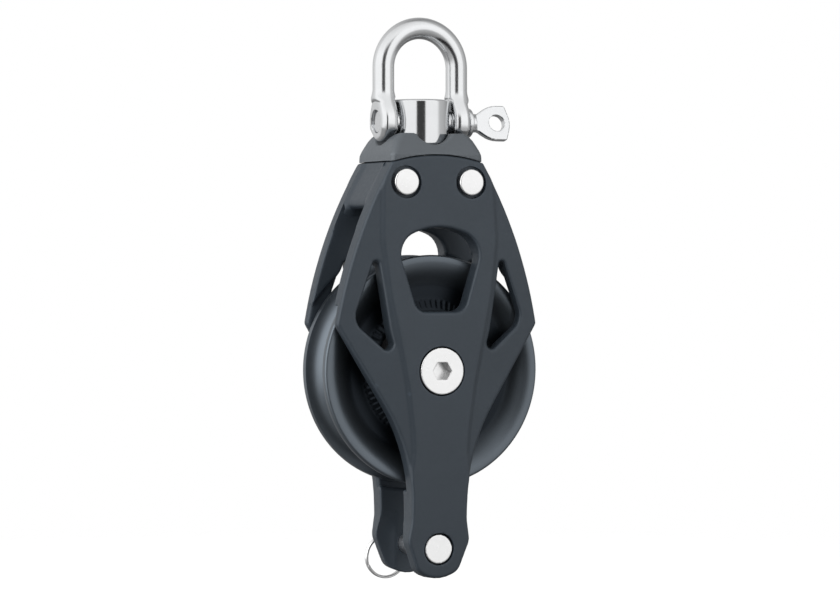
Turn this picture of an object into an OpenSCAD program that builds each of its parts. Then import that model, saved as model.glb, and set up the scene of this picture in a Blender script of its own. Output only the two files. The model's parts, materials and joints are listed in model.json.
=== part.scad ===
// Single sheave block with a fixed head, shackle and becket.
// Origin: centre of the sheave. +X to the right along the shackle pin, +Y from the front cheek to
// the rear cheek along the axle, +Z from the becket up to the shackle. Millimetres.

/* [Sheave] */
// Diameter over the sheave's flanges
sheave_d = 80; // [78:0.5:81]
// Width over the sheave's flanges
sheave_w = 21.2; // [20:0.2:21.6]
// Radius of the rope groove's round bottom
groove_r = 7.8; // [6:0.1:8]
// Radius of the groove's round centre line from the axle
groove_centre_r = 40.6; // [39:0.1:42]
// Width of the hub at the bore
hub_w = 17.8; // [16:0.2:18]
// Radius of the sheave's bore, which holds the sleeve bearing
sheave_bore_r = 13; // [12:0.1:14]

/* [Axle and bearings] */
// Radius of the hollow axle
axle_r = 10; // [8:0.1:10.5]
// Running clearance between the axle and the sleeve bearing, on the radius
axle_clearance = 0.06; // [0.02:0.01:0.1]
// Radius of the axle's end spigots
spigot_r = 7; // [6:0.1:7.5]
// Radius of the axle screws' flat heads
screw_head_r = 8; // [7.8:0.1:8.2]
// Hex socket of the axle screws, across flats
socket_af = 6; // [5:0.5:8]
// Number of side load balls on each side
ball_count = 32; // [12:1:33]
// Diameter of each side load ball
ball_d = 3.175; // [2.4:0.005:3.2]
// Radius of the ball circle
ball_circle_r = 18; // [17.5:0.1:18.2]

/* [Cheeks] */
// Half the gap between the two cheeks at the head and at the becket
half_gap = 10; // [9.6:0.1:10.2]
// Distance of the sheave pocket's floor from the middle plane
pocket_y = 12; // [11.6:0.1:12.4]
// Radius of the sheave pocket
pocket_r = 42; // [41.5:0.1:43]
// Distance of the crowned outer face from the middle plane, at the axle
crown_y = 19; // [18.5:0.1:19.5]
// Radius of the outer face's crown along the cheek
crown_r = 765; // [700:5:1200]
// Half width of the flat band along the middle of the cheek
roof_half = 15; // [13:0.5:18]
// Drop of the outer face from that band to the widest point
roof_drop = 4; // [2:0.1:5]
// Height of the widest point above the axle
corner_z = 16; // [12:0.5:20]
// Half width at the widest point
corner_x = 37.8; // [36:0.1:39]

/* [Head] */
// Distance between the two head rivets
rivet_pitch = 24.34; // [23:0.02:26]
// Height of the head rivets above the axle
rivet_z = 64.87; // [63:0.01:66]
// Radius of the rivets' round ends
rivet_end_r = 4.45; // [4:0.05:4.8]
// Height of the shoulders beside the head post
shoulder_z = 82; // [80:0.5:83]
// Radius of the head post
post_r = 10.2; // [9.5:0.1:10.4]
// Height of the head post's top
post_top_z = 93.7; // [91:0.1:95]

/* [Shackle] */
// Height of the shackle pin's axis above the axle
pin_z = 86; // [85:0.1:87]
// Diameter of the shackle's rod
rod_d = 7.5; // [6:0.1:8]
// Distance between the centre lines of the shackle's legs
leg_pitch = 27.7; // [27:0.1:29]
// Height of the centre of the shackle's bow
bow_z = 104.8; // [100:0.1:112]
// Radius of the shackle's eyes
eye_r = 7; // [6.5:0.1:7.2]
// Radius of the shackle pin's shank
pin_r = 3.95; // [3.5:0.05:4]
// Turn of the pin's thumb tab about the pin, in degrees
tab_turn = -13; // [-30:1:30]

/* [Becket] */
// Height of the becket pin below the axle
becket_z = -61.3; // [-62:0.1:-60]
// Radius of the becket pin's shank
becket_pin_r = 4; // [3.5:0.05:4]
// Radius of the becket pin's head
becket_head_r = 5.05; // [4.8:0.05:5.4]
// Radius of the split ring to the middle of its wire
ring_r = 7.3; // [7:0.1:8]
// Diameter of the split ring's wire
ring_wire = 1; // [0.8:0.1:1.1]

/* [Hidden] */
$fn = 96;
eps = 0.01;

// Running clearance of the shackle pin and the becket pin, on the radius
pin_clearance = 0.06;
// Gap under the heads of those two pins
face_gap = 0.05;
// Longer than any cut across the block
through = 50;

flange_y = sheave_w / 2;
sheave_r = sheave_d / 2;
hub_y = hub_w / 2;
rim_chamfer = 0.7;

// Dish in the sheave's sides, as [radius, half width], from the hub to the flange
sheave_dish = [[21.5, 8.7], [25.5, 7.3], [29.5, 7.3], [32, 8], [34.5, 9.4], [37.4, flange_y]];

// Thickness and width of the race rings, and the seats cut for them
race_in_r = 15.6;
race_out_r = 20.3;
race_y = 11;
race_deep = 2;
race_seat = 1.5;
// The balls run in tracks a little larger than themselves, closer to the outer race
ball_shift = 0.05;
track_clearance = 0.07;
ball_y = (hub_y + race_y) / 2 + ball_shift;
track_r = ball_d / 2 + track_clearance;

// Axle screws: floor of the counterbore, outer face of the head, depth of the socket
screw_floor_y = 15.3;
screw_face_y = 19.2;
screw_shank_r = 3.95;
screw_end_y = 4;
socket_deep = 4;
screw_well_r = 8.5;
axle_bore_r = 4;
spigot_short = 0.1;
sleeve_short = 0.2;

// Head rivets: floor of the counterbore, outer face, shank
rivet_floor_y = 14.4;
rivet_face_y = 17.1;
rivet_r = 3.5;
rivet_well_r = 5.65;

// Becket pin: floor of the recess, faces of the head and the tail, cross hole
becket_floor_y = 13.4;
becket_face_y = 16.1;
becket_tail_y = 23.6;
becket_well_r = 5.6;
becket_bore_r = becket_pin_r + pin_clearance;
becket_chamfer = 0.8;
ring_y = 21.6;
ring_hole_r = 1.45;
ring_drop = 5.5;
ring_reach = 6.7;
ring_side = sqrt(ring_reach * ring_reach - ring_drop * ring_drop);
ring_angle = atan2(ring_drop, ring_side);

// Bevel on the inner corners of the legs: start, turn, lower and upper end
bevel_x = 4.8;
bevel_turn = 14;
bevel_from_z = -75;
bevel_to_z = -53;

// Head cap and web: seam, seat of the post, spot face under the web
seam_r = 58;
seam_top_z = 74.6;
seam_gap = 0.25;
seat_z = 77.8;
spot_z = 60.5;
cap_y = 15.5;
shoulder_y = 12;
notch_r = pin_z - seat_z;
post_shank_r = 7;
post_gap = 0.4;
post_chamfer = 0.8;
post_end_z = 52.3;
washer_t = 1.2;
washer_r = 9.6;
washer_gap = 0.2;
spot_r = washer_r + 1;
nut_h = 6;
nut_af = 18;
lock_pin_r = 1;
lock_pin_bore_r = 0.5;
lock_pin_z = spot_z - washer_t - nut_h / 2;
lock_pin_short = 0.1;

// Shackle: reach of the eyes, pin collar, thumb tab
eye_in_x = 10.75;
eye_out_x = 16.95;
collar_t = 1.7;
collar_r = 5.2;
tab_t = 2.6;
tab_hole_x = 28.9;
tab_hole_r = 2.95;
tab_neck_r = 3;
tab_neck = 2;
pin_recess = 0.9;

// Each row of an outline is [x, z, corner radius], on the right half, from top to bottom
cheek_half = [
    [0, seam_top_z + 2.4, seam_r], [17.2, 72.1, 0.8], [31.6, 46.7, 166],
    [corner_x, corner_z, 2.4], [10.7, -27.9, 66], [10.7, -51.5, 10],
    [11.9, -58.5, 6], [7.9, -69.2, 5], [0, -73.1, 12]
];
centre_window_half = [[0, 50.6, 22], [16.2, 44.8, 8], [8.6, 20.5, 4.5]];
side_window = [[23.3, 40.6, 1], [31.6, 17.2, 6], [16.2, 4, 1.9], [18.9, 14, 30]];
cap_half = [
    [0, shoulder_z + 1, 0], [11.8, shoulder_z + 1, 0], [14.8, 79.4, 5],
    [17, 75, 8], [17.2, 70, 0], [0, 62, 0]
];
// The web between the cheeks, with a large round on its lower corners
web_half = [[0, 79, 0], [13.1, 79, 0], [17.2, 72.1, 0], [27.4, 53.7, 3], [0, 62, 40]];
cap_side = [
    [-cap_y, 60], [-cap_y, seam_top_z], [-shoulder_y, shoulder_z],
    [shoulder_y, shoulder_z], [cap_y, seam_top_z], [cap_y, 60]
];
tab_half = [[17.8, 2.8, 0], [21.5, 3, 3], [26, 6.2, 10], [32.4, 6.2, 0.8], [35.4, 0, 8]];

// Outlines -------------------------------------------------------------------------------------

function unit(v) = v / norm(v);

// Points of the arc that rounds the corner b between a and c to radius r
function corner(a, b, c, r) =
    r == 0 ? [b] :
    let (
        u = unit(a - b),
        v = unit(c - b),
        half = acos(u * v) / 2,
        middle = b + unit(u + v) * r / sin(half),
        first = b + u * r / tan(half) - middle,
        start = atan2(first[1], first[0]),
        sweep = sign(cross(v, u)) * (180 - 2 * half),
        steps = ceil(max(abs(sweep) / 12, abs(sweep) * PI / 180 * r / 5))
    )
    [for (i = [0:steps]) middle + r * [cos(start + sweep * i / steps), sin(start + sweep * i / steps)]];

function flat(p) = [p[0], p[1]];

// A closed outline whose rows are [x, z, corner radius]
function rounded(rows) =
    let (n = len(rows))
    [
        for (i = [0:n - 1])
            each corner(flat(rows[(i + n - 1) % n]), flat(rows[i]), flat(rows[(i + 1) % n]), rows[i][2])
    ];

// Rows of the right half joined to their mirror copy
function both_halves(rows) = concat(
    rows,
    [for (i = [len(rows) - 1:-1:0]) if (rows[i][0] != 0) [-rows[i][0], rows[i][1], rows[i][2]]]
);

// The same for a half that lies above the pin's axis
function above_and_below(rows) = concat(
    rows,
    [for (i = [len(rows) - 1:-1:0]) if (rows[i][1] != 0) [rows[i][0], -rows[i][1], rows[i][2]]]
);

module cheek_outline() {
    polygon(rounded(both_halves(cheek_half)));
}

// Extrudes an outline drawn in X and Z from one Y to another
module slab(from_y, to_y) {
    translate([0, to_y, 0])
        rotate([90, 0, 0])
            linear_extrude(height = to_y - from_y)
                children();
}

// A cylinder along +Y from one Y to another
module bar_y(r, from_y, to_y, sides = $fn) {
    translate([0, from_y, 0])
        rotate([-90, 0, 0])
            cylinder(r = r, h = to_y - from_y, $fn = sides);
}

// A cylinder along +X from one X to another
module bar_x(r, from_x, to_x) {
    translate([from_x, 0, 0])
        rotate([0, 90, 0])
            cylinder(r = r, h = to_x - from_x);
}

// Turns a profile of [radius, y] round the axle
module about_axle() {
    rotate([-90, 0, 0])
        rotate_extrude()
            children();
}

module both_sides() {
    children();
    mirror([0, 1, 0])
        children();
}

module both_rivets() {
    for (side = [-1, 1])
        translate([side * rivet_pitch / 2, 0, rivet_z])
            children();
}

// Shackle --------------------------------------------------------------------------------------

module shackle_bow() {
    leg_x = leg_pitch / 2;
    color("silver")
        difference() {
            union() {
                translate([0, 0, bow_z])
                    rotate([90, 0, 0])
                        rotate_extrude(angle = 180)
                            translate([leg_x, 0])
                                circle(d = rod_d);
                for (side = [-1, 1]) {
                    translate([side * leg_x, 0, pin_z])
                        cylinder(d = rod_d, h = bow_z - pin_z);
                    translate([side * (eye_in_x + eye_out_x) / 2, 0, pin_z])
                        bar_x(eye_r, (eye_in_x - eye_out_x) / 2, (eye_out_x - eye_in_x) / 2);
                }
            }
            translate([0, 0, pin_z])
                bar_x(pin_r + pin_clearance, -eye_out_x - 2, eye_out_x + 2);
            // A round face is cut on the outside of each eye, for the pin's collar
            for (side = [0, 1])
                mirror([side, 0, 0])
                    translate([0, 0, pin_z])
                        bar_x(eye_r, eye_out_x, eye_out_x + 2);
            // The legs' inner sides are faced off level with the eyes
            translate([-eye_in_x, -eye_r - 1, pin_z - eye_r - 1])
                cube([2 * eye_in_x, 2 * eye_r + 2, 2 * eye_r + 2]);
        }
}

module shackle_pin() {
    color("gainsboro")
        translate([0, 0, pin_z])
            rotate([tab_turn, 0, 0])
                difference() {
                    union() {
                        bar_x(pin_r, -eye_out_x + pin_recess, eye_out_x + collar_t);
                        bar_x(collar_r, eye_out_x + face_gap, eye_out_x + collar_t);
                        slab(-tab_t / 2, tab_t / 2)
                            polygon(rounded(above_and_below(tab_half)));
                        bar_x(tab_neck_r, eye_out_x + collar_t - eps, eye_out_x + collar_t + tab_neck);
                    }
                    translate([tab_hole_x, 0, 0])
                        bar_y(tab_hole_r, -tab_t, tab_t);
                }
}

// Head -----------------------------------------------------------------------------------------

module head_post() {
    color("silver")
        difference() {
            union() {
                translate([0, 0, seat_z])
                    cylinder(r = post_r, h = post_top_z - seat_z - post_chamfer);
                translate([0, 0, post_top_z - post_chamfer])
                    cylinder(r1 = post_r, r2 = post_r - post_chamfer, h = post_chamfer);
                translate([0, 0, post_end_z])
                    cylinder(r = post_shank_r, h = seat_z - post_end_z);
            }
            translate([0, 0, pin_z])
                bar_x(pin_r + pin_clearance, -post_r - 1, post_r + 1);
            translate([0, 0, lock_pin_z])
                bar_y(lock_pin_r, -post_r, post_r);
        }
}

// The curved seam on which the cap sits
module seam() {
    translate([0, seam_top_z - seam_r])
        circle(r = seam_r + seam_gap, $fn = 240);
}

module head_cap() {
    color("slategray")
        difference() {
            intersection() {
                slab(-cap_y - 1, cap_y + 1)
                    difference() {
                        polygon(rounded(both_halves(cap_half)));
                        seam();
                    }
                translate([-through / 2, 0, 0])
                    rotate([90, 0, 90])
                        linear_extrude(height = through)
                            polygon(cap_side);
            }
            // The post's bore and seat
            cylinder(r = post_shank_r, h = seat_z + 1);
            translate([0, 0, seat_z])
                cylinder(r = post_r + post_gap, h = shoulder_z - seat_z + 1);
            // Four notches take the shackle's eyes, across or along the block
            translate([0, 0, pin_z]) {
                bar_x(notch_r, -through / 2, through / 2);
                bar_y(notch_r, -through / 2, through / 2);
            }
        }
}

module head_web() {
    color("#434a50")
        difference() {
            slab(-half_gap, half_gap)
                intersection() {
                    polygon(rounded(both_halves(web_half)));
                    seam();
                }
            // Spot face for the washer, and the post's bore
            translate([0, 0, spot_z - nut_h - washer_t])
                cylinder(r = spot_r, h = nut_h + washer_t);
            translate([0, 0, spot_z - 1])
                cylinder(r = post_shank_r, h = seat_z - spot_z);
            both_rivets()
                bar_y(rivet_r, -half_gap - 1, half_gap + 1);
        }
}

module post_washer() {
    color("silver")
        translate([0, 0, spot_z - washer_t])
            difference() {
                cylinder(r = washer_r, h = washer_t);
                translate([0, 0, -1])
                    cylinder(r = post_shank_r + washer_gap, h = washer_t + 2);
            }
}

module post_nut() {
    color("darkgray")
        translate([0, 0, spot_z - washer_t - nut_h])
            difference() {
                cylinder(d = nut_af / cos(30), h = nut_h, $fn = 6);
                translate([0, 0, -1])
                    cylinder(r = post_shank_r, h = nut_h + 2);
                translate([0, 0, nut_h / 2])
                    bar_y(lock_pin_r, -nut_af, nut_af);
            }
}

module nut_lock_pin() {
    color("silver")
        translate([0, 0, lock_pin_z])
            difference() {
                bar_y(lock_pin_r, -nut_af / 2 + lock_pin_short, nut_af / 2 - lock_pin_short);
                bar_y(lock_pin_bore_r, -nut_af / 2, nut_af / 2);
            }
}

// Cheeks ---------------------------------------------------------------------------------------

// Everything inside the crowned outer face of the front cheek
module crown() {
    face = [for (z = [-80:10:80]) [crown_r - crown_y - sqrt(crown_r * crown_r - z * z), z]];
    translate([-50, 0, 0])
        rotate([90, 0, 90])
            linear_extrude(height = 100)
                polygon(concat([[0, -80]], face, [[0, 80]]));
}

// Everything inside the two sloping sides of the front cheek's outer face
module roof() {
    translate([0, 0, -90])
        linear_extrude(height = 180)
            polygon([
                [-roof_half, -crown_y - 1], [roof_half, -crown_y - 1],
                [corner_x + 1, roof_drop - crown_y], [corner_x + 1, 0],
                [-corner_x - 1, 0], [-corner_x - 1, roof_drop - crown_y]
            ]);
}

module windows() {
    slab(-crown_y - 2, 0)
        polygon(rounded(both_halves(centre_window_half)));
    slab(-crown_y - 2, 0)
        polygon(rounded(side_window));
    mirror([1, 0, 0])
        slab(-crown_y - 2, 0)
            polygon(rounded(side_window));
}

// The slanted inner corners of the legs, beside the becket pin
module leg_bevels() {
    for (side = [0, 1])
        mirror([side, 0, 0])
            translate([bevel_x, -half_gap, bevel_from_z])
                rotate([0, 0, -bevel_turn])
                    cube([12, 5, bevel_to_z - bevel_from_z]);
}

module cheek() {
    difference() {
        intersection() {
            slab(-crown_y - 1, -half_gap)
                cheek_outline();
            crown();
            roof();
        }
        bar_y(pocket_r, -pocket_y, 0, 240);
        difference() {
            bar_y(race_out_r, -race_y - race_deep, 0);
            bar_y(race_in_r, -race_y - race_deep - 1, 1);
        }
        windows();
        leg_bevels();
        bar_y(spigot_r, -crown_y, 0);
        bar_y(screw_well_r, -crown_y - 1, -screw_floor_y);
        both_rivets() {
            bar_y(rivet_r, -crown_y, 0);
            bar_y(rivet_well_r, -crown_y - 1, -rivet_floor_y);
        }
        translate([0, 0, becket_z]) {
            bar_y(becket_bore_r, -crown_y, 0);
            bar_y(becket_well_r, -crown_y - 1, -becket_floor_y);
        }
    }
}

module front_cheek() {
    color("#434a50")
        cheek();
}

module rear_cheek() {
    color("#434a50")
        mirror([0, 1, 0])
            cheek();
}

module head_rivets() {
    color("gainsboro")
        both_rivets()
            both_sides() {
                bar_y(rivet_r, -rivet_floor_y - eps, eps);
                bar_y(rivet_end_r, -rivet_face_y, -rivet_floor_y);
            }
}

// Axle and bearings ----------------------------------------------------------------------------

module axle_tube() {
    color("silver")
        difference() {
            union() {
                bar_y(axle_r, -pocket_y, pocket_y);
                bar_y(spigot_r, -screw_floor_y + spigot_short, screw_floor_y - spigot_short);
            }
            bar_y(axle_bore_r, -screw_floor_y, screw_floor_y);
        }
}

module axle_screw() {
    difference() {
        union() {
            bar_y(screw_shank_r, -screw_floor_y - eps, -screw_end_y);
            bar_y(screw_head_r, -screw_face_y, -screw_floor_y);
        }
        translate([0, -screw_face_y - 1, 0])
            rotate([-90, 0, 0])
                cylinder(d = socket_af / cos(30), h = socket_deep + 1, $fn = 6);
    }
}

module axle_screws() {
    color("gainsboro")
        both_sides()
            axle_screw();
}

module outer_race() {
    color("dimgray")
        about_axle()
            difference() {
                translate([race_in_r, -race_y - race_deep])
                    square([race_out_r - race_in_r, race_deep]);
                translate([ball_circle_r, -ball_y])
                    circle(r = track_r);
            }
}

module front_outer_race() {
    outer_race();
}

module rear_outer_race() {
    mirror([0, 1, 0])
        outer_race();
}

module inner_race() {
    color("dimgray")
        about_axle()
            difference() {
                translate([race_in_r, -hub_y])
                    square([race_out_r - race_in_r, race_seat]);
                translate([ball_circle_r, -ball_y])
                    circle(r = track_r);
            }
}

module front_inner_race() {
    inner_race();
}

module rear_inner_race() {
    mirror([0, 1, 0])
        inner_race();
}

module balls() {
    color("whitesmoke")
        for (i = [0:ball_count - 1])
            rotate([0, i * 360 / ball_count, 0])
                translate([ball_circle_r, -ball_y, 0])
                    sphere(d = ball_d, $fn = 24);
}

module front_balls() {
    balls();
}

module rear_balls() {
    mirror([0, 1, 0])
        balls();
}

// Sheave ---------------------------------------------------------------------------------------

module sheave() {
    side = concat(
        [
            [sheave_bore_r, hub_y], [race_in_r, hub_y], [race_in_r, hub_y - race_seat],
            [race_out_r, hub_y - race_seat], [race_out_r, hub_y]
        ],
        sheave_dish,
        [[sheave_r - rim_chamfer, flange_y], [sheave_r, flange_y - rim_chamfer]]
    );
    other_side = [for (i = [len(side) - 1:-1:0]) [side[i][0], -side[i][1]]];
    color("#4a5158")
        about_axle()
            difference() {
                polygon(concat(side, other_side));
                translate([groove_centre_r, 0])
                    circle(r = groove_r);
            }
}

module sleeve_bearing() {
    color("#2a2620")
        difference() {
            bar_y(sheave_bore_r, -hub_y + sleeve_short, hub_y - sleeve_short);
            bar_y(axle_r + axle_clearance, -hub_y, hub_y);
        }
}

// Becket ---------------------------------------------------------------------------------------

module becket_pin() {
    color("gainsboro")
        translate([0, 0, becket_z])
            difference() {
                union() {
                    bar_y(becket_head_r, -becket_face_y, -becket_floor_y - face_gap);
                    bar_y(becket_pin_r, -becket_floor_y - face_gap - eps, becket_tail_y - becket_chamfer);
                    translate([0, becket_tail_y - becket_chamfer - eps, 0])
                        rotate([-90, 0, 0])
                            cylinder(
                                r1 = becket_pin_r,
                                r2 = becket_pin_r - becket_chamfer,
                                h = becket_chamfer + eps
                            );
                }
                translate([0, ring_y, 0])
                    rotate([0, 90 - ring_angle, 0])
                        bar_x(ring_hole_r, -6, 6);
            }
}

module becket_ring() {
    color("gainsboro")
        translate([-ring_side, ring_y, becket_z - ring_drop])
            about_axle()
                translate([ring_r, 0]) {
                    for (side = [-1, 1])
                        translate([0, side * ring_wire / 2])
                            circle(d = ring_wire, $fn = 32);
                    square(ring_wire, center = true);
                }
}

shackle_bow();
shackle_pin();
head_post();
head_cap();
head_web();
post_washer();
post_nut();
nut_lock_pin();
front_cheek();
rear_cheek();
head_rivets();
axle_tube();
axle_screws();
front_outer_race();
rear_outer_race();
sheave();
sleeve_bearing();
front_inner_race();
rear_inner_race();
front_balls();
rear_balls();
becket_pin();
becket_ring();
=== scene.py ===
"""Single sheave block: the visible pieces and their materials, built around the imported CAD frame.

Shapes are drawn in millimetres, in the frame's own axes, and become metres when a piece is made.
Most pieces are distance functions, negative inside, that solid() turns into a mesh.
"""

import json
import math

import bpy
import numpy as np
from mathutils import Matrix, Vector


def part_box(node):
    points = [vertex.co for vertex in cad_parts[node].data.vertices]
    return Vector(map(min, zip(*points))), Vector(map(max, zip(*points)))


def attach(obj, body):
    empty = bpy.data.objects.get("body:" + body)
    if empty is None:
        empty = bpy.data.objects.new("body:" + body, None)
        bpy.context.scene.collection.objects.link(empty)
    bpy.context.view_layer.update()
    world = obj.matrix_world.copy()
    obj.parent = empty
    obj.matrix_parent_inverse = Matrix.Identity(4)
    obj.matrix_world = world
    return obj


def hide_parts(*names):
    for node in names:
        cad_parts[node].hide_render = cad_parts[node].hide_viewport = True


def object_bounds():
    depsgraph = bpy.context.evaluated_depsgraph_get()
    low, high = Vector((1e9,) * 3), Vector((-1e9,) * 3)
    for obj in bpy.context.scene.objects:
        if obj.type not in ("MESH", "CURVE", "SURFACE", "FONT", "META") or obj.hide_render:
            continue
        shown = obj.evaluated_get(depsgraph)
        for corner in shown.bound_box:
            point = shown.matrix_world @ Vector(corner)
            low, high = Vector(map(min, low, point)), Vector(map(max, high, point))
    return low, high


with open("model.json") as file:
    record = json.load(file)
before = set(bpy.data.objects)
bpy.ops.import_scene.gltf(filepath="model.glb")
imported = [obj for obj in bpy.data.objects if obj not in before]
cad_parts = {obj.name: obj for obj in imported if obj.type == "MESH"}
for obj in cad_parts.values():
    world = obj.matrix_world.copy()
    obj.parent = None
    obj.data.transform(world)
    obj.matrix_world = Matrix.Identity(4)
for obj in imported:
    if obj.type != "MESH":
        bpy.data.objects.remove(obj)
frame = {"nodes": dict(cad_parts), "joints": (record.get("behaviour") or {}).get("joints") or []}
cad_box = [list(corner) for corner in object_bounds()]

MM = 0.001
FINE = 1.0


# Sizes from the frame ---------------------------------------------------------------------------

def span(node):
    """The low and high corners of a CAD node's box."""
    low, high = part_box(node)
    return np.array(low) / MM, np.array(high) / MM


def joint_place(name):
    """The point that a joint turns about."""
    found = next(j for j in frame["joints"] if j["name"] == name)
    return np.array(found["pos_m"]) / MM


def half_size(node, axis):
    """Half of a CAD node's size along an axis."""
    low, high = span(node)
    return (high[axis] - low[axis]) / 2


PIN_Z = joint_place("shackle_swing")[2]
BECKET_Z = joint_place("becket_pin_turn")[2]
RING_Y = joint_place("becket_ring_swing")[1]
RIVET_Z = (span("head_rivets")[0][2] + span("head_rivets")[1][2]) / 2
RIVET_FACE = span("head_rivets")[1][1]
RIVET_END_R = half_size("head_rivets", 2)
RIVET_X = half_size("head_rivets", 0) - RIVET_END_R
SHEAVE_R = span("sheave")[1][2]
FLANGE_Y = span("sheave")[1][1]
INNER_Y = span("rear_cheek")[0][1]
CROWN_Y = span("rear_cheek")[1][1]
POST_TOP = span("head_post")[1][2]
POST_R = half_size("head_post", 0)
SCREW_FACE = span("axle_screws")[1][1]
SCREW_R = half_size("axle_screws", 0)
PIN_TIP = span("shackle_pin")[1][0]
BECKET_HEAD_Y, BECKET_TAIL_Y = span("becket_pin")[0][1], span("becket_pin")[1][1]
BECKET_HEAD_R = half_size("becket_pin", 0)
RING_MIDDLE = (span("becket_ring")[0] + span("becket_ring")[1]) / 2


# Distance functions -----------------------------------------------------------------------------

def meet(a, b, r=0.0):
    """What is inside both, with the edge between them rounded to radius r."""
    if np.ndim(r) == 0 and r == 0:
        return np.maximum(a, b)
    a, b = a + r, b + r
    return np.minimum(np.maximum(a, b), 0) + np.hypot(np.maximum(a, 0), np.maximum(b, 0)) - r


def join(a, b, r=0.0):
    """What is inside either, with a fillet of radius r between them."""
    return -meet(-a, -b, r)


def cut(a, b, r=0.0):
    """What is inside a and outside b."""
    return meet(a, -b, r)


def between(v, low, high):
    """The slab where v lies from low to high."""
    return np.maximum(low - v, v - high)


def smooth(t):
    """An S-shaped rise from 0 to 1 as t goes from 0 to 1."""
    t = np.clip(t, 0, 1)
    return t * t * (3 - 2 * t)


def rounded(rows):
    """The points of a closed outline whose rows are (u, v, corner radius)."""
    points = []
    for i, (u, v, r) in enumerate(rows):
        b = np.array([u, v])
        if r == 0:
            points.append(b)
            continue
        to_a = np.array(rows[i - 1][:2]) - b
        to_c = np.array(rows[(i + 1) % len(rows)][:2]) - b
        to_a, to_c = to_a / np.linalg.norm(to_a), to_c / np.linalg.norm(to_c)
        half = math.acos(np.clip(to_a @ to_c, -1, 1)) / 2
        bisector = (to_a + to_c) / np.linalg.norm(to_a + to_c)
        middle = b + bisector * r / math.sin(half)
        first = b + to_a * r / math.tan(half) - middle
        turn = to_c[0] * to_a[1] - to_c[1] * to_a[0]
        sweep = math.copysign(math.pi - 2 * half, turn)
        start = math.atan2(first[1], first[0])
        steps = max(2, math.ceil(max(abs(sweep) / 0.2, abs(sweep) * r / 4)))
        for k in range(steps + 1):
            angle = start + sweep * k / steps
            points.append(middle + r * np.array([math.cos(angle), math.sin(angle)]))
    return np.array(points)


def both_halves(rows):
    """Outline rows of the +u half, joined by their mirror image."""
    return rows + [(-u, v, r) for u, v, r in reversed(rows) if u != 0]


def above_and_below(rows):
    """Outline rows of the +v half, joined by their mirror image."""
    return rows + [(u, -v, r) for u, v, r in reversed(rows) if v != 0]


def outline(rows):
    """A signed distance to an outline, as a function of two coordinates."""
    points = rounded(rows)
    ends = np.roll(points, -1, axis=0)

    def field(u, v):
        u, v = np.broadcast_arrays(u, v)
        nearest = np.full(u.shape, np.inf)
        inside = np.zeros(u.shape, bool)
        for (pu, pv), (qu, qv) in zip(points, ends):
            du, dv = qu - pu, qv - pv
            length = du * du + dv * dv
            if length < 1e-12:
                continue
            t = np.clip(((u - pu) * du + (v - pv) * dv) / length, 0, 1)
            nearest = np.minimum(nearest, (u - pu - t * du) ** 2 + (v - pv - t * dv) ** 2)
            if dv != 0:
                inside ^= ((pv > v) != (qv > v)) & (u < pu + (v - pv) * du / dv)
        return np.where(inside, -1, 1) * np.sqrt(nearest)

    return field


# Meshes -----------------------------------------------------------------------------------------

# How often a crossing is halved to find it, and how strongly a vertex is held in its cell's middle
HALVINGS, KEEP_CENTRAL = 6, 0.06


def normals_of(f, p, step=0.004):
    """The unit slope of a distance function at each point."""
    here = f(p[:, 0], p[:, 1], p[:, 2])
    slope = np.empty_like(p)
    for axis in range(3):
        q = p.copy()
        q[:, axis] += step
        slope[:, axis] = (f(q[:, 0], q[:, 1], q[:, 2]) - here) / step
    return slope / np.maximum(np.linalg.norm(slope, axis=1), 1e-9)[:, None]


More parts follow.
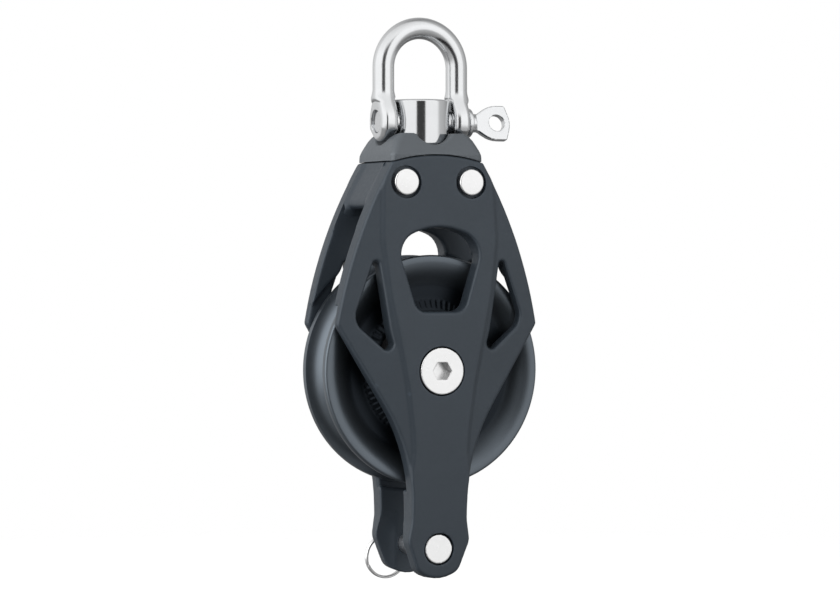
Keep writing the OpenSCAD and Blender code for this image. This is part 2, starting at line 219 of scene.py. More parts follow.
def solid(f, low, high, cell):
    """The surface of f inside a box, as (vertices, quads). It is dual contouring: each cell that
    the surface crosses gets one vertex, which is pulled onto the sharp edges."""
    cell = cell * FINE
    low = np.array(low, float) - 1.37 * cell
    count = np.ceil((np.array(high, float) + 1.41 * cell - low) / cell).astype(int) + 1
    axes = [low[i] + cell * np.arange(count[i]) for i in range(3)]
    values = f(axes[0][:, None, None], axes[1][None, :, None], axes[2][None, None, :])
    inside = np.broadcast_to(values, count) < 0
    cells = count - 1
    stride = np.array([cells[1] * cells[2], cells[2], 1])
    crossings, owners, flips = [], [], []
    for axis in range(3):
        u, v = (axis + 1) % 3, (axis + 2) % 3
        first = [slice(None)] * 3
        second = [slice(None)] * 3
        first[axis], second[axis] = slice(None, -1), slice(1, None)
        a, b = inside[tuple(first)], inside[tuple(second)]
        at = np.argwhere(a != b)
        at = at[(at[:, u] > 0) & (at[:, v] > 0) & (at[:, u] < cells[u]) & (at[:, v] < cells[v])]
        start = low + cell * at
        near, far = np.zeros(len(at)), np.ones(len(at))
        sign = np.where(a[tuple(at.T)], 1.0, -1.0)
        for _ in range(HALVINGS):
            half = (near + far) / 2
            p = start.copy()
            p[:, axis] += half * cell
            still = f(p[:, 0], p[:, 1], p[:, 2]) * sign < 0
            near, far = np.where(still, half, near), np.where(still, far, half)
        start[:, axis] += (near + far) / 2 * cell
        crossings.append(start)
        corner = at @ stride
        owners.append(np.stack([corner, corner - stride[u], corner - stride[u] - stride[v],
                                corner - stride[v]], axis=1))
        flips.append(sign < 0)
    points = np.concatenate(crossings)
    owners = np.concatenate(owners)
    flips = np.concatenate(flips)
    normals = normals_of(f, points)
    used, quads = np.unique(owners, return_inverse=True)
    quads = quads.reshape(-1, 4)
    total = len(used)

    def gather(amounts):
        return sum(np.bincount(quads[:, k], amounts, total) for k in range(4))

    hits = gather(np.ones(len(points)))
    mass = np.stack([gather(points[:, i]) for i in range(3)], axis=1) / hits[:, None]
    matrix = np.empty((total, 3, 3))
    plane = (normals * points).sum(1)
    right = np.stack([gather(normals[:, i] * plane) for i in range(3)], axis=1)
    for i in range(3):
        for j in range(3):
            matrix[:, i, j] = gather(normals[:, i] * normals[:, j])
    right -= np.einsum("nij,nj->ni", matrix, mass)
    matrix += KEEP_CENTRAL * np.eye(3)
    vertices = mass + np.linalg.solve(matrix, right[:, :, None])[:, :, 0]
    corner = np.stack([used // stride[0], used // stride[1] % cells[1], used % cells[2]], axis=1)
    base = low + cell * corner
    vertices = np.clip(vertices, base - 0.05 * cell, base + 1.05 * cell)
    quads[flips] = quads[flips][:, ::-1]
    return vertices, quads


def turned(profile, segments, relief=None):
    """A closed profile of (radius, y) turned round the Y axis. relief(radius, y, angle) moves it
    along y."""
    angle = np.arange(segments) * 2 * math.pi / segments
    radius, y = profile[:, 0][None, :], profile[:, 1][None, :]
    height = y + (relief(radius, y, angle[:, None]) if relief else 0 * angle[:, None])
    x = radius * np.cos(angle)[:, None]
    z = radius * np.sin(angle)[:, None]
    vertices = np.stack([x, np.broadcast_to(height, x.shape), z], axis=2).reshape(-1, 3)
    n = len(profile)
    i, k = np.meshgrid(np.arange(segments), np.arange(n), indexing="ij")
    i2, k2 = (i + 1) % segments, (k + 1) % n
    quads = np.stack([i * n + k, i2 * n + k, i2 * n + k2, i * n + k2], axis=2).reshape(-1, 4)
    return vertices, quads


def swept(path, r, sides=12):
    """A round wire of radius r along an open path, with round ends."""
    path = np.array(path)
    tangent = np.gradient(path, axis=0)
    tangent /= np.linalg.norm(tangent, axis=1)[:, None]
    across = np.cross(tangent, [0, 1, 0])
    across /= np.linalg.norm(across, axis=1)[:, None]
    other = np.cross(tangent, across)
    angle = np.arange(sides) * 2 * math.pi / sides
    cos, sin = np.cos(angle)[:, None], np.sin(angle)[:, None]
    rings = [path[k] + r * (cos * across[k] + sin * other[k]) for k in range(len(path))]
    tips = [path[:1] - tangent[:1] * r * 0.5, path[-1:] + tangent[-1:] * r * 0.5]
    vertices = np.concatenate(rings + tips)
    faces = []
    for k in range(len(path) - 1):
        for j in range(sides):
            j2 = (j + 1) % sides
            faces.append((k * sides + j, k * sides + j2, (k + 1) * sides + j2, (k + 1) * sides + j))
    first, last = len(path) * sides, len(path) * sides + 1
    for j in range(sides):
        j2 = (j + 1) % sides
        faces.append((first, j2, j))
        faces.append((last, (len(path) - 1) * sides + j, (len(path) - 1) * sides + j2))
    return vertices, faces


def piece(name, shape, body, slot, material, *nodes, sharp=38):
    """Makes a piece that rides on a body and stands for CAD nodes. Edges sharper than the angle
    sharp, in degrees, stay sharp in the shading."""
    vertices, faces = shape
    mesh = bpy.data.meshes.new(name)
    mesh.from_pydata((np.asarray(vertices) * MM).tolist(), [], [list(map(int, face)) for face in faces])
    mesh.validate()
    mesh.update()
    mesh.polygons.foreach_set("use_smooth", [True] * len(mesh.polygons))
    mesh.set_sharp_from_angle(angle=math.radians(sharp))
    made = bpy.data.objects.new(name, mesh)
    bpy.context.scene.collection.objects.link(made)
    if signed_volume(mesh) < 0:
        mesh.flip_normals()
    made.data.materials.append(material)
    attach(made, body)
    if nodes:
        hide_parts(*nodes)
    return made


def signed_volume(mesh):
    """Six times the mesh's volume, negative where its faces point inwards."""
    mesh.calc_loop_triangles()
    corners = np.empty(len(mesh.loop_triangles) * 3, np.int32)
    mesh.loop_triangles.foreach_get("vertices", corners)
    co = np.empty(len(mesh.vertices) * 3)
    mesh.vertices.foreach_get("co", co)
    a, b, c = (co.reshape(-1, 3)[corners.reshape(-1, 3)[:, k]] for k in range(3))
    return float(np.einsum("ij,ij->i", a, np.cross(b, c)).sum())


def mirrored(shape):
    """The same shape on the other side of the block."""
    vertices, faces = shape
    return vertices * [1, -1, 1], [tuple(face)[::-1] for face in faces]


def both_sides(shape):
    """A shape and its mirror image, as one."""
    vertices, faces = shape
    others, other_faces = mirrored(shape)
    shifted = [[i + len(vertices) for i in face] for face in other_faces]
    return np.concatenate([vertices, others]), [list(face) for face in faces] + shifted


# Materials --------------------------------------------------------------------------------------

class Finish:
    """A Principled material with helpers for its nodes. Coordinates are the frame's, in metres."""

    def __init__(self, name, color, metallic, roughness, coat=0.0):
        self.material = bpy.data.materials.new(name)
        self.material.use_nodes = True
        self.tree = self.material.node_tree
        self.shader = self.tree.nodes["Principled BSDF"]
        self.color = self.tinted = color
        self.roughness = roughness
        settings = {"Base Color": (*color, 1), "Metallic": metallic, "Roughness": roughness,
                    "Coat Weight": coat}
        for socket, value in settings.items():
            self.shader.inputs[socket].default_value = value
        self.place = self.tree.nodes.new("ShaderNodeTexCoord").outputs["Object"]
        self.bumps = None

    def node(self, kind, **settings):
        """A new node, with these attributes set."""
        made = self.tree.nodes.new(kind)
        for key, value in settings.items():
            setattr(made, key, value)
        return made

    def link(self, a, b):
        self.tree.links.new(a, b)

    def stretched(self, scale):
        """The coordinates times a scale for each axis."""
        mapping = self.node("ShaderNodeMapping")
        mapping.inputs["Scale"].default_value = scale
        self.link(self.place, mapping.inputs["Vector"])
        return mapping.outputs["Vector"]

    def noise(self, scale, detail=3.0, vector=None, roughness=0.5):
        made = self.node("ShaderNodeTexNoise")
        made.inputs["Scale"].default_value = scale
        made.inputs["Detail"].default_value = detail
        made.inputs["Roughness"].default_value = roughness
        self.link(vector or self.place, made.inputs["Vector"])
        return made.outputs["Fac"]

    def remap(self, value, low, high, to_low, to_high, interpolation="LINEAR"):
        """What runs from low to high runs from to_low to to_high, and stays there beyond."""
        made = self.node("ShaderNodeMapRange", interpolation_type=interpolation)
        numbers = {"From Min": low, "From Max": high, "To Min": to_low, "To Max": to_high}
        for socket, number in numbers.items():
            made.inputs[socket].default_value = number
        self.link(value, made.inputs["Value"])
        return made.outputs["Result"]

    def mix(self, factor, a, b):
        made = self.node("ShaderNodeMix", data_type="RGBA")
        self.link(factor, made.inputs["Factor"])
        for socket, value in ((made.inputs["A"], a), (made.inputs["B"], b)):
            if isinstance(value, tuple):
                socket.default_value = (*value, 1)
            else:
                self.link(value, socket)
        return made.outputs["Result"]

    def bump(self, height, strength, distance):
        """Adds a bump of this depth in metres, on top of the earlier ones."""
        made = self.node("ShaderNodeBump")
        made.inputs["Strength"].default_value = strength
        made.inputs["Distance"].default_value = distance
        self.link(height, made.inputs["Height"])
        if self.bumps:
            self.link(self.bumps, made.inputs["Normal"])
        self.bumps = made.outputs["Normal"]
        self.link(self.bumps, self.shader.inputs["Normal"])

    def vary_color(self, factor, other):
        """Mixes another colour in, on top of the earlier ones."""
        self.tinted = self.mix(factor, self.tinted, other)
        self.link(self.tinted, self.shader.inputs["Base Color"])

    def clouds(self, scale, detail, amount, shading):
        """Soft patches that are shaded by this much."""
        patches = self.remap(self.noise(scale, detail), 0.35, 0.65, 0, amount)
        self.vary_color(patches, shade(self.color, shading))

    def vary_roughness(self, value, spread):
        low, high = self.roughness - spread, self.roughness + spread
        self.link(self.remap(value, 0.3, 0.7, low, high), self.shader.inputs["Roughness"])

    def edges(self, amount):
        """How convex the surface is, from 0 to amount, for wear and a painted highlight along the edges."""
        geometry = self.node("ShaderNodeNewGeometry")
        return self.remap(geometry.outputs["Pointiness"], 0.51, 0.62, 0, amount)

    def distance(self, axes):
        """How far out a point lies, counting only the axes that are 1."""
        length = self.node("ShaderNodeVectorMath", operation="LENGTH")
        self.link(self.stretched(axes), length.inputs[0])
        return length.outputs["Value"]

    def times(self, a, b):
        """The product of two nodes' outputs."""
        made = self.node("ShaderNodeMath", operation="MULTIPLY")
        self.link(a, made.inputs[0])
        self.link(b, made.inputs[1])
        return made.outputs["Value"]

    def fade_out(self, near, far):
        """Lets the surface melt away between two distances."""
        fade = self.remap(self.distance((1, 1, 1)), near, far, 0, 1, "SMOOTHSTEP")
        clear = self.node("ShaderNodeBsdfTransparent")
        mixed = self.node("ShaderNodeMixShader")
        self.link(fade, mixed.inputs["Fac"])
        self.link(self.shader.outputs[0], mixed.inputs[1])
        self.link(clear.outputs[0], mixed.inputs[2])
        self.link(mixed.outputs[0], self.tree.nodes["Material Output"].inputs["Surface"])


def shade(color, k):
    """The colour made k times as bright."""
    return tuple(min(1.0, c * k) for c in color)


def anodised(name, color, roughness):
    """Hard-anodised forging: a fine blasted grain, faint clouding, and edges lightened partly as rubbed
    wear and partly as a painted highlight.
    """
    made = Finish(name, color, 0.25, roughness)
    made.clouds(60, 4, 0.35, 0.82)
    # Lightened edges: partly rubbed wear, partly a painted highlight along the edges
    made.vary_color(made.edges(0.35), shade(color, 2.1))
    made.vary_roughness(made.noise(900, 3), 0.05)
    made.bump(made.noise(5200, 2), 0.35, 0.000012)
    return made.material


def turned_anodised(name, color, dish_shade, roughness):
    """Anodised over a turned surface: rings round the axis with a soft metallic sheen. The dished
    sides inside the flange are darkened by painted shade."""
    made = Finish(name, color, 0.85, roughness)
    radius = made.distance((1, 0, 1))
    rings = made.node("ShaderNodeCombineXYZ")
    made.link(radius, rings.inputs["X"])
    lines = made.noise(4200, 2, rings.outputs["Vector"])
    made.clouds(70, 3, 0.3, 0.8)
    # Lightened edges: partly wear, partly a painted highlight along the rims and edges
    made.vary_color(made.edges(0.2), shade(color, 1.6))
    # Painted shade: the dish inside the flange is darkened towards the hub, on both sides
    dish_shade_mask = made.times(made.remap(radius, *DISH_SHADE_FADES, 1, 0),
                        made.remap(made.distance((0, 1, 0)), *DISH_SHADE_SIDES, 0, 1))
    made.vary_color(dish_shade_mask, dish_shade)
    made.vary_roughness(lines, 0.05)
    made.bump(lines, 0.25, 0.00001)
    made.bump(made.noise(6000, 2), 0.2, 0.000006)
    return made.material


def steel(name, color, roughness, spread, scratch, direction):
    """Stainless steel: fine polishing marks that are stretched along a direction, and patchy
    roughness."""
    made = Finish(name, color, 1.0, roughness)
    made.clouds(160, 3, 0.3, 0.92)
    made.vary_roughness(made.noise(1400, 3), spread)
    made.bump(made.noise(1, 2, made.stretched(direction)), scratch, 0.000003)
    return made.material


def plastic(name, color, roughness, coat=0.0):
    """Moulded plastic with a fine orange-peel and a little mottling."""
    made = Finish(name, color, 0.0, roughness, coat=coat)
    made.clouds(500, 3, 0.4, 0.75)
    made.vary_roughness(made.noise(900, 3), 0.06)
    made.bump(made.noise(3000, 2), 0.2, 0.00001)
    return made.material


# The radii between which the painted shade in the sheave's dish fades out towards the flange, and
# the distances from the middle plane between which its sides begin, in metres
DISH_SHADE_FADES, DISH_SHADE_SIDES = (0.0295, 0.0362), (0.0068, 0.0071)

CHEEK = anodised("cheek_anodised", (0.042, 0.055, 0.07), 0.46)
HEAD = anodised("head_anodised", (0.12, 0.135, 0.15), 0.48)
# The second colour is the painted shade in the sheave's dish
SHEAVE = turned_anodised("sheave_anodised", (0.132, 0.153, 0.175), (0.012, 0.016, 0.021), 0.36)
POLISHED = steel("polished_steel", (0.71, 0.72, 0.73), 0.12, 0.02, 0.1, (700, 700, 6000))
FORGED = steel("forged_steel", (0.76, 0.77, 0.78), 0.2, 0.03, 0.12, (1800, 1800, 3000))
SATIN = steel("satin_steel", (0.86, 0.86, 0.86), 0.3, 0.03, 0.1, (6000, 6000, 6000))
RACE = plastic("race_plastic", (0.018, 0.018, 0.02), 0.42)
COMPOSITE = plastic("bearing_composite", (0.03, 0.024, 0.018), 0.6)
ACETAL = plastic("ball_plastic", (0.72, 0.72, 0.7), 0.25, coat=0.3)


# Cheeks -----------------------------------------------------------------------------------------

cheek_outline = outline(both_halves([
    (0, 77, 58), (17.2, 72.1, 0.8), (31.6, 46.7, 166), (37.8, 16, 2.4), (10.7, -27.9, 66),
    (10.7, -51.5, 10), (11.9, -58.5, 6), (7.9, -69.2, 5), (0, -73.1, 12),
]))
centre_window = outline(both_halves([(0, 50.6, 22), (16.2, 44.8, 8), (8.6, 20.5, 4.5)]))
side_window = outline([(23.3, 40.6, 1), (31.6, 17.2, 6), (16.2, 4, 1.9), (18.9, 14, 30)])

# The arch of the outer face, and of the seam under the cap
CROWN_R = 765
SEAM_R, SEAM_Z = 58.05, 74.6 - 58
# The round pocket in which the sheave turns
POCKET_R, POCKET_Y = 42, 12
# How far from the middle the ridge of the outer face lies at each height, how wide it is and how
# deep it falls, and the slope of the flank beyond it
RIDGE_Z = [-80, -44, -36, -28, -20, -5, 11, 27, 45, 65, 80]
RIDGE_X = [12, 12, 10, 9, 9.5, 11.5, 14.7, 18, 20.3, 19.5, 18.5]
RIDGE_WIDE, RIDGE_FALL, FLANK_SLOPE = 2.4, 0.8, 0.13
# The slopes of the sides and of the windows' walls
SIDE_DRAFT, WINDOW_DRAFT = 0.05, 0.04
# The rounding of the inner edge, and how much less it becomes over a run above WEB_FOOT_Z, where
# the web stands
INNER_EDGE, EDGE_LESS, WEB_FOOT_Z, WEB_FOOT_RUN = 0.8, 0.74, 46, 6
# The scooped inner corners of the legs: where they start, their width and depth, and the height
# over which they reach that depth
BEVEL_X, BEVEL_Z, BEVEL_WIDE, BEVEL_DEEP, BEVEL_RUN = 4.8, -50, 7.1, 1.75, 8
# How far the cheeks and the web stay below the cap's seam
SEAM_GAP = 0.35
# The groove for the outer race: its middle radius, half its width, and its floor
RACE_R, RACE_HALF, RACE_Y = 17.95, 2.35, 13
# For each fastener the radius of its hole, the radius of the seat round it, and how far out the
# seat's floor lies
SCREW_HOLE, RIVET_HOLE, BECKET_HOLE = (7.02, 8.5, 15.3), (3.52, 5.65, 14.4), (4.06, 5.6, 13.4)


def seam(x, z):
    """The curved joint on which the head cap sits."""
    return np.hypot(x, np.maximum(z - SEAM_Z, 0)) - SEAM_R


def outer_face(x, z):
    """How far the crowned face stands from the middle plane, with its ridge and sloping flanks."""
    past = np.abs(x) - np.interp(z, RIDGE_Z, RIDGE_X)
    crown = CROWN_Y - z * z / (2 * CROWN_R)
    return crown - RIDGE_FALL * smooth(past / RIDGE_WIDE) - FLANK_SLOPE * np.maximum(past - RIDGE_WIDE, 0)


def cheek(x, y, z):
    """The rear cheek, on the +Y side."""
    axle = np.hypot(x, z)
    rivet = np.hypot(np.abs(x) - RIVET_X, z - RIVET_Z)
    becket = np.hypot(x, z - BECKET_Z)
    side = meet(cheek_outline(x, z) + SIDE_DRAFT * (y - INNER_Y), seam(x, z) + SEAM_GAP, 0.45)
    shape = meet(y - outer_face(x, z), side, 1.0)
    inner_edge = INNER_EDGE - EDGE_LESS * smooth((z - WEB_FOOT_Z) / WEB_FOOT_RUN)
    shape = meet(shape, INNER_Y - y, inner_edge)
    shape = cut(shape, meet(axle - POCKET_R, y - POCKET_Y), 1.5)
    opening = WINDOW_DRAFT * (y - POCKET_Y)
    shape = cut(shape, centre_window(x, z) - opening, 1.1)
    shape = cut(shape, side_window(np.abs(x), z) - opening, 1.0)
    run_out = smooth((BEVEL_Z - z) / BEVEL_RUN)
    hollow = 1 - (1 - np.clip((np.abs(x) - BEVEL_X) / BEVEL_WIDE, 0, 1)) ** 2
    bevel = y - INNER_Y - BEVEL_DEEP * run_out * hollow
    shape = cut(shape, meet(meet(bevel, z - BEVEL_Z), BEVEL_X - np.abs(x)), 0.3)
    shape = cut(shape, meet(np.abs(axle - RACE_R) - RACE_HALF, y - RACE_Y))
    for around, (hole, seat, face) in ((axle, SCREW_HOLE), (rivet, RIVET_HOLE), (becket, BECKET_HOLE)):
        shape = cut(shape, around - hole)
        shape = cut(shape, meet(around - seat, face - y), 0.25)
    return shape


rear = solid(cheek, *span("rear_cheek"), 0.5)
piece("rear_cheek_forging", rear, "frame", "cheek_anodised", CHEEK, "rear_cheek")
piece("front_cheek_forging", mirrored(rear), "frame", "cheek_anodised", CHEEK, "front_cheek")


# Head -------------------------------------------------------------------------------------------

cap_front = outline(both_halves([
    (0, 83, 0), (11.8, 83, 0), (14.8, 79.4, 5), (17, 75, 8), (17.2, 70, 0), (0, 62, 0),
]))
web_outline = outline(both_halves([
    (0, 79, 0), (13.1, 79, 0), (17.2, 72.1, 0), (27.4, 53.7, 3), (0, 62, 40),
]))
cap_side = outline([(-15.5, 60, 0), (-15.5, 74.6, 1.5), (-12, 82, 0.8), (12, 82, 0.8), (15.5, 74.6, 1.5),
                    (15.5, 60, 0)])
# The post's bore, and the room for its drum above SEAT_Z and for its nut below SPOT_Z
BORE_R, ROOM_R, SEAT_Z, SPOT_Z = 7.02, 10.6, 77.8, 60.5
# How far the web's lower edges flare out, where that begins, and how far the web runs into the cheeks
FLARE, FLARE_Y, WEB_SUNK = 2.6, 6.5, 0.35
# The post's shank, and the hole through its drum for the shackle pin
SHANK_R, SHANK_END_Z, PIN_HOLE_R = 7, 52.3, 4.01


def head_cap(x, y, z):
    """The cap, with a round notch in each of its four sides."""
    across, along = np.hypot(y, z - PIN_Z), np.hypot(x, z - PIN_Z)
    axis = np.hypot(x, y)
    under = seam(x, z) + SIDE_DRAFT * np.maximum(np.abs(y) - INNER_Y, 0)
    shape = meet(cap_front(x, z), cap_side(y, z), 2)
    shape = cut(shape, under, 0.45)
    shape = cut(shape, axis - BORE_R)
    shape = cut(shape, meet(axis - ROOM_R, SEAT_Z - z), 0.3)
    shape = cut(shape, across - (PIN_Z - SEAT_Z), 0.5)
    return cut(shape, along - (PIN_Z - SEAT_Z), 0.5)


def head_web(x, y, z):
    """The web's lower edges flare out into the cheeks, like a cast fillet."""
    axis = np.hypot(x, y)
    flare = FLARE * np.clip((np.abs(y) - FLARE_Y) / (INNER_Y - FLARE_Y), 0, 1) ** 2
    shape = meet(web_outline(x, z) - flare, cheek_outline(x, np.minimum(z, 70)) + 0.06, 2)
    shape = meet(shape, seam(x, z) + SEAM_GAP, 0.45)
    shape = meet(shape, np.abs(y) - INNER_Y - WEB_SUNK)
    shape = cut(shape, meet(axis - ROOM_R, z - SPOT_Z))
    shape = cut(shape, axis - BORE_R)
    return cut(shape, np.hypot(np.abs(x) - RIVET_X, z - RIVET_Z) - RIVET_HOLE[0])


def post(x, y, z):
    """The drum that holds the shackle pin, and its shank down through the cap and the web."""
    r = np.hypot(x, y)
    drum = meet(r - POST_R, between(z, SEAT_Z, POST_TOP), 0.8)
    shank = meet(r - SHANK_R, between(z, SHANK_END_Z, SEAT_Z + 1), 0.5)
    bore = np.hypot(y, z - PIN_Z) - PIN_HOLE_R
    return cut(join(drum, shank), bore, 0.4)


piece("head_cap_forging", solid(head_cap, *span("head_cap"), 0.38), "frame", "head_anodised", HEAD,
      "head_cap")
low, high = span("head_web")
web = solid(head_web, [low[0], low[1] - WEB_SUNK, low[2] - FLARE - 1],
            [high[0], high[1] + WEB_SUNK, high[2]], 0.42)
piece("head_web_forging", web, "frame", "cheek_anodised", CHEEK, "head_web")
piece("head_post_polished", solid(post, *span("head_post"), 0.4), "frame", "polished_steel", POLISHED,
      "head_post")


# Fasteners --------------------------------------------------------------------------------------

# Each shank runs a little way into its head, so that the two join
RIVET_R, RIVET_END_Y, RIVET_SHANK_Y, RIVET_DOME = 3.5, 14.45, 14.5, 0.006
SCREW_SHANK_R, SCREW_SHANK_Y, SCREW_END_Y = 3.95, (4, 15.6), 15.35
HEX_HALF, HEX_Y = 3, 15.2
BECKET_R, BECKET_END_Y, BECKET_SHANK_Y, RING_HOLE_R = 4, -13.45, -13.6, 1.45


def rivets(x, y, z):
    """Both rivets, each from its front end to its rear one."""
    r = np.hypot(np.abs(x) - RIVET_X, z - RIVET_Z)
    dome = RIVET_FACE - r * r * RIVET_DOME - np.abs(y)
    end = meet(meet(r - RIVET_END_R, -dome, 0.35), RIVET_END_Y - np.abs(y))
    return join(end, meet(r - RIVET_R, np.abs(y) - RIVET_SHANK_Y))


def axle_screw(x, y, z):
    """The rear screw, with its hex socket."""
    r = np.hypot(x, z)
    angle = np.arctan2(z, x)
    third = math.pi / 3
    hexagon = r * np.cos((angle + third / 2 + math.pi / 6) % third - third / 2) - HEX_HALF
    disc = meet(r - SCREW_R, between(y, SCREW_END_Y, SCREW_FACE), 0.3)
    shank = meet(r - SCREW_SHANK_R, between(y, *SCREW_SHANK_Y))
    socket = meet(hexagon, HEX_Y - y)
    return cut(join(disc, shank), socket, 0.2)


def becket_pin(x, y, z):
    """A headed pin, with a cross hole near its tail for the split ring."""
    r = np.hypot(x, z - BECKET_Z)
    disc = meet(r - BECKET_HEAD_R, between(y, BECKET_HEAD_Y, BECKET_END_Y), 0.4)
    shank = meet(r - BECKET_R, between(y, BECKET_SHANK_Y, BECKET_TAIL_Y), 0.7)
    tilt = math.atan2(BECKET_Z - RING_MIDDLE[2], -RING_MIDDLE[0])
    across = x * math.cos(tilt) - (z - BECKET_Z) * math.sin(tilt)
    along_hole = np.hypot(y - RING_Y, across)
    return cut(join(disc, shank), along_hole - RING_HOLE_R, 0.2)


screw_low, screw_high = [-SCREW_R, SCREW_SHANK_Y[0], -SCREW_R], [SCREW_R, SCREW_FACE, SCREW_R]
screws = both_sides(solid(axle_screw, screw_low, screw_high, 0.25))
piece("axle_screws_faced", screws, "frame", "satin_steel", SATIN, "axle_screws")
piece("head_rivets_formed", solid(rivets, *span("head_rivets"), 0.3), "frame", "satin_steel", SATIN,
      "head_rivets")
piece("becket_pin_headed", solid(becket_pin, *span("becket_pin"), 0.28), "becket_pin", "satin_steel", SATIN,
      "becket_pin")


# Split ring -------------------------------------------------------------------------------------

# The wire lies in two turns on either side of RING_Y, and steps over near the end of the first
WIRE_R, WIRE_OFF, TURNS, STEP_FROM, STEP_LONG = 0.47, 0.5, 2.06, 0.9, 0.2
RING_R = half_size("becket_ring", 0) - WIRE_OFF
RING_START, RING_POINTS = math.radians(205), 200

path = []
for k in range(RING_POINTS):
    t = k / (RING_POINTS - 1)
    angle = RING_START + TURNS * 2 * math.pi * t
    lift = (smooth(np.array((t * TURNS - STEP_FROM) / STEP_LONG)) * 2 - 1) * WIRE_OFF
    turn = np.array([math.cos(angle), 0, math.sin(angle)])
    path.append([RING_MIDDLE[0], RING_Y + lift, RING_MIDDLE[2]] + RING_R * turn)
piece("becket_ring_wire", swept(path, WIRE_R), "becket_ring", "satin_steel", SATIN, "becket_ring",
      sharp=60)


# Shackle ----------------------------------------------------------------------------------------

# The bow's rod, its legs, and the middle of its arch
ROD_R, LEG_X = 3.75, 13.85
BOW_Z = span("shackle_bow")[1][2] - (LEG_X + ROD_R)
EYE_IN, EYE_FACE, EYE_R = 10.75, 16.95, 7
# How far the pin's tab is turned about the pin
TAB_TURN = math.radians(-13)


def shackle(x, y, z):
    """The bow: a bent rod that swells into an eye at each end."""
    side = np.abs(x)
    bend = np.hypot(np.hypot(x, np.maximum(z - BOW_Z, 0)) - LEG_X, y) - ROD_R
    rod = meet(np.where(z > BOW_Z, bend, np.hypot(side - LEG_X, y) - ROD_R), PIN_Z - z)
    around = np.hypot(y, z - PIN_Z)
    eye = meet(around - EYE_R, between(side, EYE_IN, EYE_FACE), 2.4)
    shape = join(rod, eye, 5)
    shape = cut(shape, meet(around - EYE_R - 1.5, side - EYE_IN), 0.6)
    shape = cut(shape, meet(around - EYE_R, EYE_FACE - side), 2)
    return cut(shape, around - PIN_HOLE_R, 0.4)


tab_outline = outline(above_and_below([(17.8, 2.8, 0), (21.5, 3, 3), (26, 6.2, 10), (32.4, 6.2, 0.8),
                                       (PIN_TIP, 0, 8)]))
# The radius of each part of the pin, where it begins and ends, and the rounding of its edges
PIN_ROD = (3.95, -16.05, 18.65, 0.5)
PIN_COLLAR, PIN_NECK = (5.2, 17, 18.65, 0.45), (3, 18, 20.65, 0.3)
TAB_HALF, TAB_HOLE_X, TAB_HOLE_R = 1.3, 28.9, 2.95


def shackle_pin(x, y, z):
    """A round pin with a collar, and a flat tab with a hole in it."""
    c, s = math.cos(TAB_TURN), math.sin(TAB_TURN)
    v, w = c * y + s * (z - PIN_Z), -s * y + c * (z - PIN_Z)
    r = np.hypot(v, w)

    def part(part_r, start, end, edge):
        return meet(r - part_r, between(x, start, end), edge)

    rod, collar, neck = part(*PIN_ROD), part(*PIN_COLLAR), part(*PIN_NECK)
    tab = meet(tab_outline(x, w), np.abs(v) - TAB_HALF, 0.5)
    tab = cut(tab, np.hypot(x - TAB_HOLE_X, w) - TAB_HOLE_R, 0.3)
    return join(join(join(rod, collar), neck), tab, 0.8)


piece("shackle_bow_forged", solid(shackle, *span("shackle_bow"), 0.42), "shackle", "polished_steel",
      FORGED, "shackle_bow")
piece("shackle_pin_tabbed", solid(shackle_pin, *span("shackle_pin"), 0.35), "shackle_pin",
      "satin_steel", FORGED, "shackle_pin")


# Sheave -----------------------------------------------------------------------------------------

# The fine ribs on the dish's inner slope: how many, between which radii, how high, and the distance
# from the middle plane at which they end
RIBS, RIB_IN, RIB_OUT, RIB_HIGH, RIB_END_Y = 72, 21.5, 25.5, 0.22, 7.5
# The hub's bore and face, and the groove for the inner race: two radii and its floor
HUB_R, HUB_Y, RACE_FROM, RACE_TO, RACE_FLOOR = 13, 8.9, 15.6, 20.3, 7.4
# The dish falls from the hub and climbs to the flange: where each slope begins, its width and height
DISH_FALL, DISH_CLIMB, DISH_END = (20.8, 4.6, 1.6), (29, 9.2, 3.3), 37.4
# The flange's flat land, and the rounding outside it
LAND, RIM_R = (37.8, 38.4, 39), 0.9
# The centre and radius of the rope groove
ROPE_CENTRE, ROPE_R = 40.6, 7.8


def slope(r, start, width, height):
    """A smooth rise to a height, over a width from a start."""
    return height * smooth((r - start) / width)


def half_profile():
    """Half the sheave's section from the bore to the middle of the groove, as (radius, y)."""
    profile = [(HUB_R, HUB_Y), (RACE_FROM, HUB_Y), (RACE_FROM, RACE_FLOOR), (RACE_TO, RACE_FLOOR),
               (RACE_TO, HUB_Y)]
    profile += [(r, HUB_Y - slope(r, *DISH_FALL) + slope(r, *DISH_CLIMB))
                for r in np.linspace(DISH_FALL[0], DISH_END, 44)]
    profile += [(r, FLANGE_Y) for r in LAND]
    profile += [(LAND[-1] + RIM_R * math.sin(a), FLANGE_Y - RIM_R + RIM_R * math.cos(a))
                for a in (0.4, 0.8, 1.2, 1.57)]
    lip = math.asin((SHEAVE_R - 0.1 - ROPE_CENTRE) / -ROPE_R)
    profile += [(ROPE_CENTRE - ROPE_R * math.sin(a), ROPE_R * math.cos(a))
                for a in np.linspace(lip + 0.02, math.pi / 2, 26)]
    return profile


half = half_profile()
section = np.array(half + [(r, -y) for r, y in reversed(half[:-1])])


def ribs(radius, y, angle):
    """How far the ribs move the surface along y."""
    band = smooth((radius - RIB_IN) / 0.5) * smooth((RIB_OUT - radius) / 0.5)
    wave = np.clip(np.cos(angle * RIBS) * 1.6, -1, 1)
    on_slope = np.abs(y) > RIB_END_Y
    return -np.sign(y) * on_slope * band * RIB_HIGH * (1 - wave) / 2


sheave = turned(section, RIBS * (8), ribs)
piece("sheave_turned", sheave, "sheave", "sheave_anodised", SHEAVE, "sheave", sharp=32)


# CAD nodes that stay, with a new material -------------------------------------------------------

